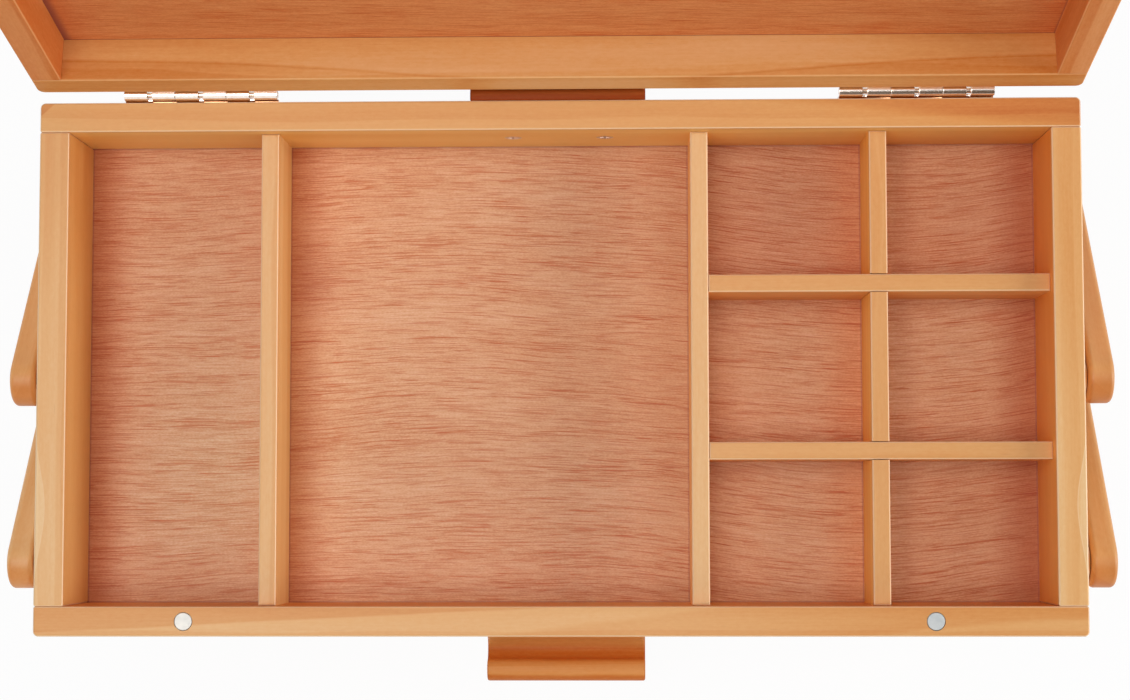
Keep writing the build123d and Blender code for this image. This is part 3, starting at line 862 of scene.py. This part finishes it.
# Paler patches in the left compartment are painted sheen, and darker ones in the cells are painted
# shade.
floor_painted_patches = (
    (-112.0, -20.0, 48.0, (1.02, 1.16, 1.22)),
    (-138.0, -48.0, 34.0, (1.12, 1.28, 1.38)),
    (-98.0, 38.0, 16.0, (0.88, 0.8, 0.76)),
    (88.0, 66.0, 34.0, (0.84, 0.76, 0.74)),
    (168.0, 64.0, 34.0, (0.93, 0.87, 0.87)),
    (168.0, -66.0, 34.0, (0.93, 0.84, 0.8)),
    (20.0, 10.0, 60.0, (0.98, 0.93, 0.86)),
    (10.0, 70.0, 40.0, (0.92, 0.92, 0.94)),
)
floor_veneer = plywood_material(
    "tray floor veneer", "along x", 3.0, (0.99, 0.95, 0.91), tone=0.42, slant=-0.02, dip=14.0,
    dip_along=130.0, wall_light_and_shade=floor_wall_light_and_shade, feet=foot_faces, painted_patches=floor_painted_patches,
)
dress(floor_veneer, "tray_floor")
print("the floor has", len(foot_faces), "lines and", len(floor_wall_light_and_shade + floor_painted_patches), "uneven places")

# %% [markdown]
# ## The other panels
#
# The lid's panel has the same dark lines at the foot of its rails. The rear rail leans back with the
# lid, so the place of its foot is read from its own points, turned as the grain is. A typed number
# would do as well, until someone opens the lid wider.

# %% The other panels
lid_turned = Matrix.Rotation(lid_angle, 3, "X")
rail_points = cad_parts["lid_rear_rail"].data.vertices
rail_top = min((lid_turned @ vertex.co).y for vertex in rail_points)
lid_feet = (
    strip_by("lid_left_rail", "x", 1, 4.5, 1.0),
    strip_by("lid_right_rail", "x", -1, 1.0, 0.5),
    ("across", rail_top, -1, 0.9, 0.7),
)
# Painted shade beside the lid's side rails.
lid_wall_shade = (
    strip_by("lid_left_rail", "x", 1, broad, (0.92, 0.82, 0.78)),
    strip_by("lid_right_rail", "x", -1, broad, (0.9, 0.76, 0.7)),
)
lid_veneer = plywood_material(
    "lid panel veneer", "lid along x", 5.0, (0.94, 0.67, 0.42), tone=0.5, slant=-0.01,
    feet=lid_feet, wall_light_and_shade=lid_wall_shade,
)
dress(lid_veneer, "lid_panel")
dress(plywood_material("base floor veneer", "along x", 7.0, tone=0.5, slant=0.01), "base_floor")
print("varnished the lid's panel and the base's floor")

# %% [markdown]
# ## Metal
#
# The hinges are brass plated with a bright pinkish finish, the screws are plain satin steel, and the
# magnets are discs in satin nickel. A metal takes most of its look from what it mirrors, so its
# material only needs the right tint and a gloss that varies a little with rubbing and fine scratches.
# Where a hinge's tongues leave its plate, the plate's upper edge lies in the knuckles' shade, and a dull
# brown tint there is painted shade. The magnet on the right mirrors a darker room than the other, so a
# second, duller and cooler tint on that side is a painted reflection.


# %% Metal finishes
CREASE_SHADE = (0.62, 0.36, 0.2)


def metal_material(name, tint, dull_tint, roughness, right_painted_reflection=(1.0, 1.0, 1.0), crease=None):
    """Plated metal, cloudy and rubbed, with a painted reflection tint on the right and painted shade at
    a crease.
    """
    made, tree, shader = new_material(name)
    shader.inputs["Metallic"].default_value = 1.0
    place, x, y, z = in_mm(tree, node(tree, "TexCoord").outputs["Object"])
    cloud = stretched_noise(tree, place, (0.35, 0.35, 0.35), 1.0, 3.0)
    rubbed = stretched_noise(tree, place, (0.3, 3.0, 3.0), 2.0)
    colour = blend(tree, ease(tree, cloud, 0.4, 0.7), (*tint, 1), (*dull_tint, 1))
    # Painted reflection: the right-hand magnet is tinted duller and cooler.
    colour = through_film(tree, ease(tree, x, -10.0, 10.0), colour, right_painted_reflection)
    # Painted shade along the plate's upper edge, under the knuckles.
    if crease is not None:
        above = minus(tree, z, crease)
        crease_shadow = times(tree, ease(tree, above, 1.6, 0.9), ease(tree, above, -1.6, -0.6))
        colour = through_film(tree, crease_shadow, colour, CREASE_SHADE)
    uneven = times(tree, plus(tree, cloud, rubbed), 0.3)
    gloss = times(tree, plus(tree, uneven, 0.7), roughness)
    tree.links.new(gloss, shader.inputs["Roughness"])
    surface(tree, shader, colour, rubbed, 0.05, 0.02)
    return made


pin_middle = (face_of("left_hinge_pin", "z", -1) + face_of("left_hinge_pin", "z", 1)) / 2 / MM
crease_drop = 2.3
hinge_metal = metal_material(
    "pink brass plate", (0.97, 0.87, 0.78), (0.93, 0.78, 0.66), 0.2, crease=pin_middle - crease_drop
)
# The pin's tint is darkened to brown: painted shade for the gaps between the knuckles where it shows.
pin_metal = metal_material("bright steel pin", (0.76, 0.61, 0.49), (0.68, 0.5, 0.38), 0.24)
screw_metal = metal_material("satin steel", (0.71, 0.58, 0.5), (0.59, 0.46, 0.4), 0.34)
magnet_metal = metal_material(
    "nickel plate", (0.6, 0.58, 0.54), (0.57, 0.56, 0.53), 0.62, right_painted_reflection=(0.76, 0.82, 0.88)
)
print("mixed 4 metal finishes")

# %% [markdown]
# ## Tools for the pulls and the metal parts
#
# Each part is made once, in millimetres. Most are round, so they are skinned over rings of points, as
# if they were turned on a lathe, and a moulding is skinned over its two ends. Recesses and
# countersinks are cut away afterwards with the Boolean modifier, as a mill would cut them. Both ways
# keep the meshes closed.


# %% Skins and cuts
def circle(radius, height, steps=48):
    """A ring of points about Z, or one point where the radius is 0."""
    if radius == 0:
        return [Vector((0, 0, height))]
    turns = [2 * pi * i / steps for i in range(steps)]
    return [Vector((radius * cos(turn), radius * sin(turn), height)) for turn in turns]


def stack(rings):
    """A closed solid skinned over rings of points from its top to its bottom."""
    points, faces, rows = [], [], []
    for ring in rings:
        rows.append(range(len(points), len(points) + len(ring)))
        points += ring
    for upper, lower in zip(rows, rows[1:]):
        steps = max(len(upper), len(lower))
        for i in range(steps):
            j = (i + 1) % steps
            left = (upper[i % len(upper)], lower[i % len(lower)])
            right = (lower[j % len(lower)], upper[j % len(upper)])
            faces.append(list(dict.fromkeys(left + right)))
    faces += [list(row) for row in (rows[0], rows[-1][::-1]) if len(row) > 2]
    mesh = bpy.data.meshes.new("turned")
    mesh.from_pydata(points, [], faces)
    return mesh


def worked(mesh, cutters=(), rounding=0.0):
    """The mesh with its edges rounded, and then with the cutters' shapes cut away."""
    blank = add_object("blank", mesh)
    if rounding:
        bevel = blank.modifiers.new("rounding", "BEVEL")
        bevel.width = rounding
        bevel.segments = 3
        bevel.angle_limit = radians(40)
    tools = [add_object("tool", cutter) for cutter in cutters]
    for tool in tools:
        cut = blank.modifiers.new("cut", "BOOLEAN")
        cut.object = tool
        cut.solver = "EXACT"
    graph = bpy.context.evaluated_depsgraph_get()
    result = bpy.data.meshes.new_from_object(blank.evaluated_get(graph))
    for item in (blank, *tools):
        bpy.data.objects.remove(item)
    return result


print("skins and cuts are ready")

# %% [markdown]
# ## Fitting a part
#
# A finished part is copied to all its places as one piece. It rides the body that carries it, and it
# stands for the plain shapes of the solid model, which are hidden. Every copy could be a piece of its
# own, but screws of one kind are easier to handle together.


# %% Fitting
def fit(name, mesh, places, finish, body, slot, *nodes):
    """Copies a mesh in mm to its places, as one piece that rides a body and stands for CAD nodes."""
    build = bmesh.new()
    for place in places:
        copy = mesh.copy()
        copy.transform(Matrix.Scale(MM, 4) @ place)
        build.from_mesh(copy)
        bpy.data.meshes.remove(copy)
    whole = bpy.data.meshes.new(name)
    build.to_mesh(whole)
    build.free()
    whole.shade_smooth()
    whole.set_sharp_from_angle(angle=radians(32))
    whole.materials.append(finish)
    piece = add_object(name, whole)
    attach(piece, body)
    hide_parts(*nodes)


def facing(direction, at):
    """Moves a part that was made pointing up Z so that it points in a direction, at a place."""
    return Matrix.Translation(at) @ Vector(direction).to_track_quat("Z", "Y").to_matrix().to_4x4()


print("fitting tools are ready")

# %% [markdown]
# ## Pulls
#
# The pull is a length of moulding with a finger groove above and below. A router with a round-nosed bit
# cuts the groove, and sandpaper then runs over its borders until the hollow flows into the lip without
# a line. So the section is drawn here as a chain of arcs: the groove with a soft turn on both sides,
# and a wide round to the front. It is swept along the board and its ends are eased.


# %% Pulls
def box_mm(name):
    """A node's lowest and highest corners, in mm."""
    return [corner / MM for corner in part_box(name)]


def arc(centre, radius, start, end, steps=10):
    """Points along an arc, with its angles in degrees."""
    turns = [radians(start + (end - start) * i / steps) for i in range(steps + 1)]
    return [(centre[0] + radius * cos(turn), centre[1] + radius * sin(turn)) for turn in turns]


groove_out, groove, groove_depth, turn_round, front_round = 11.2, 4.4, 6.8, 4.2, 5.0
pull_low, pull_high = box_mm("front_pull")
pull_half, pull_depth = (pull_high.z - pull_low.z) / 2, pull_high.y - pull_low.y
pull_length = pull_high.x - pull_low.x
groove_height = pull_half - groove_depth + groove
turn_height = pull_half - turn_round
reach = groove + turn_round
turn_off = (reach**2 - (groove_height - turn_height) ** 2) ** 0.5
tangent = degrees(asin((groove_height - turn_height) / reach))
upper = [(0.0, pull_half)]
upper += arc((groove_out - turn_off, turn_height), turn_round, 90, tangent)
upper += arc((groove_out, groove_height), groove, 180 + tangent, 360 - tangent, 24)[1:]
upper += arc((groove_out + turn_off, turn_height), turn_round, 180 - tangent, 90)[1:]
upper += arc((pull_depth - front_round, pull_half - front_round), front_round, 90, 0)
section = [(out, -height) for out, height in upper] + upper[::-1]
ends = [[Vector((*point, end)) for point in section] for end in (pull_length / 2, -pull_length / 2)]
moulding = worked(stack(ends), rounding=0.9)
up = Vector((0, 0, 1))
for wall, body, outward in (("front", "base", Vector((0, -1, 0))), ("rear", "tray", Vector((0, 1, 0)))):
    low, high = box_mm(f"{wall}_pull")
    back = Vector(((low.x + high.x) / 2, high.y if wall == "front" else low.y, (low.z + high.z) / 2))
    place = Matrix.Translation(back) @ Matrix((outward, up, outward.cross(up))).transposed().to_4x4()
    wood = bpy.data.materials[f"{wall} pull"]
    fit(f"{wall}_finger_pull", moulding, [place], wood, body, "solid_wood", f"{wall}_pull")
print("moulded 2 pulls from a section of", len(section), "points")

# %% [markdown]
# ## Wood screws
#
# The hinge leaves and the pulls are held by countersunk wood screws with a cross recess. A spiral
# thread would be hidden in the wood, so plain ridges stand for it here.


# %% Wood screws
def cross_cutter(reach, width, depth, top=0.3):
    """A tapered cross that cuts the recess in a screw head whose face is at height 0."""
    outline = []
    for turn in range(4):
        for x, y in ((reach, -width / 2), (reach, width / 2), (width / 2, width / 2)):
            outline.append(Matrix.Rotation(turn * pi / 2, 3, "Z") @ Vector((x, y, 0)))
    levels = ((top, 1.0), (0.0, 1.0), (-depth, 0.55))
    rings = []
    for height, scale in levels:
        rings.append([Vector((point.x * scale, point.y * scale, height)) for point in outline])
    return stack(rings)


def threaded(radius, core, start, end, pitch):
    """Rings of a thread from one height down to another, and its point."""
    rings = []
    height = start
    while height > end + 2.5 * pitch:
        rings += [circle(core, height), circle(radius, height - 0.4 * pitch)]
        rings += [circle(core, height - 0.7 * pitch)]
        height -= pitch
    rings += [circle(core * 0.9, end + 2 * pitch), circle(core * 0.35, end + 0.4 * pitch)]
    return rings + [circle(0, end)]


def wood_screw(radius, head, length, pitch):
    """A countersunk wood screw, with its face at height 0."""
    rings = [circle(0, 0), circle(head - 0.3, 0), circle(head - 0.06, -0.08), circle(head - 0.02, -0.2)]
    rings += [circle(radius * 0.8, -head + radius * 0.8)]
    rings += threaded(radius, radius * 0.75, -head, -length, pitch)
    return worked(stack(rings), [cross_cutter(head * 0.6, head * 0.24, min(0.8, head * 0.35))])


leaf_screw = wood_screw(radius=1.1, head=2.3, length=9.2, pitch=0.9)
pull_screw_head = 3.4
for wall, body, direction in (("front", "base", (0, 1, 0)), ("rear", "tray", (0, -1, 0))):
    low, high = box_mm(f"{wall}_pull_screws")
    face = high.y if wall == "front" else low.y
    pull_screw = wood_screw(1.75, pull_screw_head, high.y - low.y, 1.2)
    height = (low.z + high.z) / 2
    across = (low.x + pull_screw_head, high.x - pull_screw_head)
    places = [facing(direction, (x, face, height)) for x in across]
    name = f"{wall}_pull_cross_screws"
    fit(name, pull_screw, places, screw_metal, body, "screw_steel", f"{wall}_pull_screws")
print("cut a leaf screw and 4 pull screws")

# %% [markdown]
# ## Shoulder screws
#
# The arms turn on shoulder screws: a wide flat head, a smooth shoulder that the arm turns on, and a
# thread in the wall behind it. A plain bolt would clamp the arm. The screw is turned from rings as the
# wood screws are, and its shoulder ends at the wall's face, which is read from the model.

# %% Shoulder screws
pivot_head, pivot_shoulder, pivot_anchor, head_height = 5.0, 3.0, 8.5, 3.0
shoulder_end = box_mm("base_right_wall")[1].x - box_mm("lower_pivot_screws")[1].x
rings = [circle(0, 0), circle(pivot_head - 0.7, 0), circle(pivot_head - 0.2, -0.2)]
rings += [circle(pivot_head, -0.7), circle(pivot_head, -head_height + 0.2)]
rings += [circle(pivot_head - 0.2, -head_height), circle(pivot_shoulder, -head_height)]
rings += [circle(pivot_shoulder, shoulder_end)]
rings += threaded(2.2, 1.7, shoulder_end, shoulder_end - pivot_anchor, 1.3)
pivot_screw = worked(stack(rings), [cross_cutter(2.9, 1.1, 1.3)])
for level, body in (("lower", "base"), ("upper", "tray")):
    low, high = box_mm(f"{level}_pivot_screws")
    height = (low.z + high.z) / 2
    ends = (low.y + pivot_head, high.y - pivot_head)
    places = [facing((1, 0, 0), (high.x, y, height)) for y in ends]
    places += [facing((-1, 0, 0), (low.x, y, height)) for y in ends]
    name = f"{level}_pivot_shoulder_screws"
    fit(name, pivot_screw, places, screw_metal, body, "screw_steel", f"{level}_pivot_screws")
print("cut 8 shoulder screws")

# %% [markdown]
# ## Hinges
#
# A hinge of this kind is pressed from two flat plates. Tongues on each plate are curled round the pin,
# and the tongues of one plate fill the gaps of the other. Here a plate starts as a strip of its cross
# section, from the lower edge up and round the pin, and is widened along the pin. Where there is no
# tongue, the strip stops at the plate's upper edge. A tube could stand for a knuckle, but the curl
# leaves the fine seam that the real one has underneath.

# %% The strip of a hinge plate
pin_low, pin_high = box_mm("left_hinge_pin")
hinge_length = pin_high.x - pin_low.x
barrel, bore, corner = 2.0, 1.14, 2.0
plate_back, plate_front, plate_top, plate_foot = -2.7, -1.5, -2.4, -14.9
knuckle, web, margin = 8.9, 1.65, 0.3
knuckle_starts = (0.0, 19.75, 39.5)

corner_rows = [plate_foot + corner * step for step in (0.0, 0.02, 0.08, 0.2, 0.4, 0.68, 1.0)]
strip = [((plate_back, z), (plate_front, z)) for z in (*corner_rows, plate_top)]
plate_rows = len(strip)
strip += [((-2.52, -1.6), (-1.42, -1.6)), ((-2.15, -0.8), (-1.24, -0.8))]
web_rows = len(strip)
for angle in range(180, -121, -12):
    turn = radians(angle)
    strip.append(((barrel * cos(turn), barrel * sin(turn)), (bore * cos(turn), bore * sin(turn))))

spans = [(start, start + knuckle, len(strip)) for start in knuckle_starts]
spans += [(start + knuckle, start + knuckle + web, web_rows) for start in knuckle_starts]
stations = {0.0, hinge_length, *(end for span in spans for end in span[:2])}
stations |= {start + margin for start in knuckle_starts}
stations |= {start + knuckle - margin for start in knuckle_starts}
stations = sorted(round(x, 3) for x in stations)
heights = []
for low, high in zip(stations, stations[1:]):
    middle = (low + high) / 2
    heights.append(max((rows for start, end, rows in spans if start < middle < end), default=plate_rows))
print("the strip has", len(strip), "rows, and the plate has", len(heights), "stretches")

# %% [markdown]
# ## The skin of a hinge plate
#
# The grid of points is filled with faces: both sides of the sheet, its edges along the pin, and its
# edges across wherever the next stretch has fewer rows. A modifier could thicken a thin sheet instead,
# but this way the wall is exactly as thick as the strip says. If each edge has two faces, the sheet is
# closed.

# %% The skin of a hinge plate
build = bmesh.new()
grid = {}
for row, sides in enumerate(strip):
    rise = min(sides[0][1] - plate_foot, corner) if row < plate_rows else corner
    narrowing = corner - (corner**2 - (corner - rise) ** 2) ** 0.5
    for column, x in enumerate(stations):
        x += narrowing * ((column == 0) - (column == len(stations) - 1))
        for side, (y, z) in enumerate(sides):
            grid[row, column, side] = build.verts.new((x - hinge_length / 2, y, z))


def add_face(*corners):
    """Fills a face between points of the grid."""
    build.faces.new([grid[key] for key in corners])


for column, rows in enumerate(heights):
    right = column + 1
    for row in range(rows - 1):
        for side in (0, 1):
            above = ((row + 1, column, side), (row + 1, right, side))
            add_face((row, column, side), *above, (row, right, side))
    for row in (0, rows - 1):
        add_face((row, column, 0), (row, column, 1), (row, right, 1), (row, right, 0))
for edge, (left, right) in enumerate(zip([1, *heights], [*heights, 1])):
    for row in range(min(left, right) - 1, max(left, right) - 1):
        add_face((row, edge, 0), (row + 1, edge, 0), (row + 1, edge, 1), (row, edge, 1))
loose = [vert for vert in build.verts if not vert.link_faces]
bmesh.ops.delete(build, geom=loose, context="VERTS")
bmesh.ops.recalc_face_normals(build, faces=build.faces)
open_edges = [edge for edge in build.edges if len(edge.link_faces) != 2]
plate = bpy.data.meshes.new("hinge plate")
build.to_mesh(plate)
build.free()
print("hinge plate:", len(plate.polygons), "faces,", len(open_edges), "open edges")

# %% [markdown]
# ## Countersinks and pins
#
# Three countersunk holes are cut in the plate, and its edges are rounded as tumbling rounds a pressed
# part. The cutters reach above the plate's face, because a cut that ends on a face can fail. The pin
# is a plain rod with domed ends, turned from rings because it needs no cutting.

# %% Countersinks and pins
leaf_screw_steps, leaf_screw_drop = (-20.0, 0.0, 20.0), 9.0
sink = [circle(2.6, 0.2), circle(2.4, 0.0), circle(1.2, -1.2), circle(1.2, -1.6)]
screw_places = [facing((0, 1, 0), (x, plate_front, -leaf_screw_drop)) for x in leaf_screw_steps]
sinks = [stack(sink) for place in screw_places]
for cutter, place in zip(sinks, screw_places):
    cutter.transform(place)
plate = worked(plate, sinks, rounding=0.14)

pin_radius = 1.1
ends = ((0.0, 0.0), (0.7, 0.0), (1.0, 0.12), (pin_radius, 0.4), (pin_radius, 0.7))
rings = [circle(radius, hinge_length / 2 - inset) for radius, inset in ends]
rings += [circle(radius, inset - hinge_length / 2) for radius, inset in reversed(ends)]
pin = stack(rings)
print("cut", len(sinks), "countersinks and turned a pin")

# %% [markdown]
# ## Fitting the hinges
#
# Both plates of a hinge are the same part. The one on the lid is turned end for end and swung open
# with the lid, so its tongues fall into the gaps of the other. A second shape could be made for the
# lid, but one pressing serves for both on a real hinge too. Each plate gets three screws.

# %% Fitting the hinges
lid_down, leftward = Vector((0, -sin(lid_angle), -cos(lid_angle))), Vector((-1, 0, 0))
lid_turn = Matrix((leftward, lid_down.cross(leftward), lid_down)).transposed().to_4x4()
leaf_places = {"tray": [], "lid": []}
for side in ("left", "right"):
    low, high = box_mm(f"{side}_hinge_pin")
    at = Matrix.Translation((low + high) / 2)
    leaf_places["tray"].append(at)
    leaf_places["lid"].append(at @ lid_turn)
    for body, places in leaf_places.items():
        name, leaf = f"{side}_hinge_{body}_plate", f"{side}_hinge_{body}_leaf"
        fit(name, plate, places[-1:], hinge_metal, body, "hinge_brass", leaf)
    name, along_pin = f"{side}_hinge_round_pin", [at @ facing((1, 0, 0), (0, 0, 0))]
    fit(name, pin, along_pin, pin_metal, "tray", "hinge_brass", f"{side}_hinge_pin")
for body, places in leaf_places.items():
    all_screws = [place @ screw_place for place in places for screw_place in screw_places]
    name = f"{body}_hinge_cross_screws"
    fit(name, leaf_screw, all_screws, screw_metal, body, "screw_steel", f"{body}_hinge_screws")
print("fitted 4 hinge plates, 2 pins and 12 small screws")

# %% [markdown]
# ## Magnets
#
# Two discs in the tray's front rim meet two in the lid. Each is a sintered magnet in nickel plate, with
# a small chamfer, pressed into a drilled hole. The chamfer matters: it is what draws the fine ring
# round each disc when you look straight down at it.

# %% Magnets
magnet_radius, magnet_height, chamfer = 3.49, 4.0, 0.3
rings = [circle(0, 0), circle(magnet_radius - chamfer, 0), circle(magnet_radius, -chamfer)]
rings += [circle(magnet_radius, -magnet_height), circle(0, -magnet_height)]
magnet = stack(rings)
for body, outward in (("tray", up), ("lid", lid_down)):
    low, high = box_mm(f"{body}_magnets")
    middle = (low + high) / 2
    places = []
    for x in (low.x + magnet_radius, high.x - magnet_radius):
        face = Vector((x, middle.y, middle.z)) + outward * magnet_height / 2
        places.append(facing(outward, face))
    fit(f"{body}_magnet_discs", magnet, places, magnet_metal, body, "magnet_plate", f"{body}_magnets")
print("fitted 4 magnets")

# %% [markdown]
# ## Last steps
#
# The dressed box must keep the size of the solid model, so both boxes are written down and compared.

# %% Sizes and finish
new_low, new_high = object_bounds()
outside = [round((new - old) / MM, 2) for new, old in zip(new_high, cad_high)]
print("outside the solid model's box, in mm:", outside)
